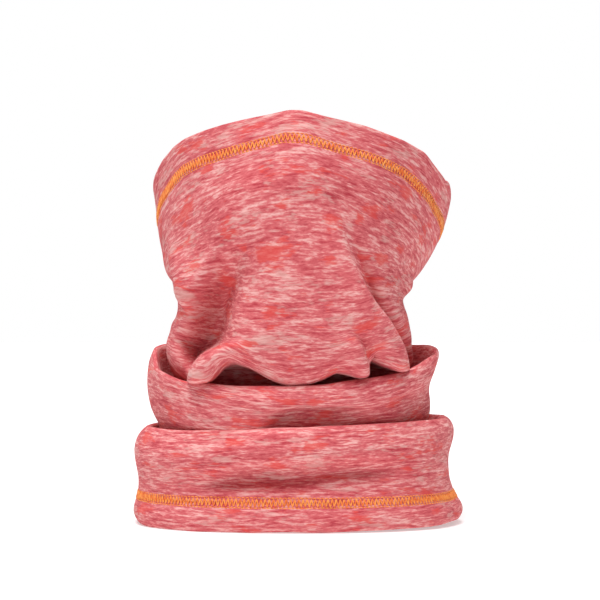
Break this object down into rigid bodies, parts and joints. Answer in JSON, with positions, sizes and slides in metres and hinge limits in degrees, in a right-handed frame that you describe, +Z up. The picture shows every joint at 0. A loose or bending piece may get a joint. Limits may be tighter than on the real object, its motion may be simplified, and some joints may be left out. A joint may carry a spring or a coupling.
{
  "type": "neck gaiter",
  "caption": "Tube of brushed melange fleece with topstitched hems, pulled up over the nose and rolled down in folds round the neck.",
  "frame": {"origin": "centre of the outline, on the plane of the bottom hem's edge", "axes": "+Z up along the tube, the wearer's face towards -Y, +X to the right in a view from the front"},
  "size_m": [0.2035, 0.1947, 0.2473],
  "materials": {
    "melange_fleece": "brushed polyester fleece, coral red with pale pink streaks, matte",
    "orange_thread": "spun polyester sewing thread, soft sheen",
    "overlock_thread": "textured polyester overlock thread, matte",
    "label_satin": "blank woven satin, semi-matte"
  },
  "bodies": {
    "root": {"fleece_upper": "melange_fleece", "fleece_throat": "melange_fleece", "fleece_middle": "melange_fleece", "fleece_lower": "melange_fleece", "top_hem_turn_up": "melange_fleece", "top_hem_needle_thread_upper": "orange_thread", "top_hem_needle_thread_lower": "orange_thread", "top_hem_cover_thread": "orange_thread", "top_hem_looper_thread": "orange_thread", "bottom_hem_turn_up": "melange_fleece", "bottom_hem_needle_thread_upper": "orange_thread", "bottom_hem_needle_thread_lower": "orange_thread", "bottom_hem_cover_thread": "orange_thread", "bottom_hem_looper_thread": "orange_thread", "back_seam_allowance_upper": "melange_fleece", "back_seam_overlock_upper": "overlock_thread", "back_seam_allowance_middle": "melange_fleece", "back_seam_overlock_middle": "overlock_thread", "back_seam_allowance_lower": "melange_fleece", "back_seam_overlock_lower": "overlock_thread", "care_label": "label_satin"}
  },
  "joints": []
}
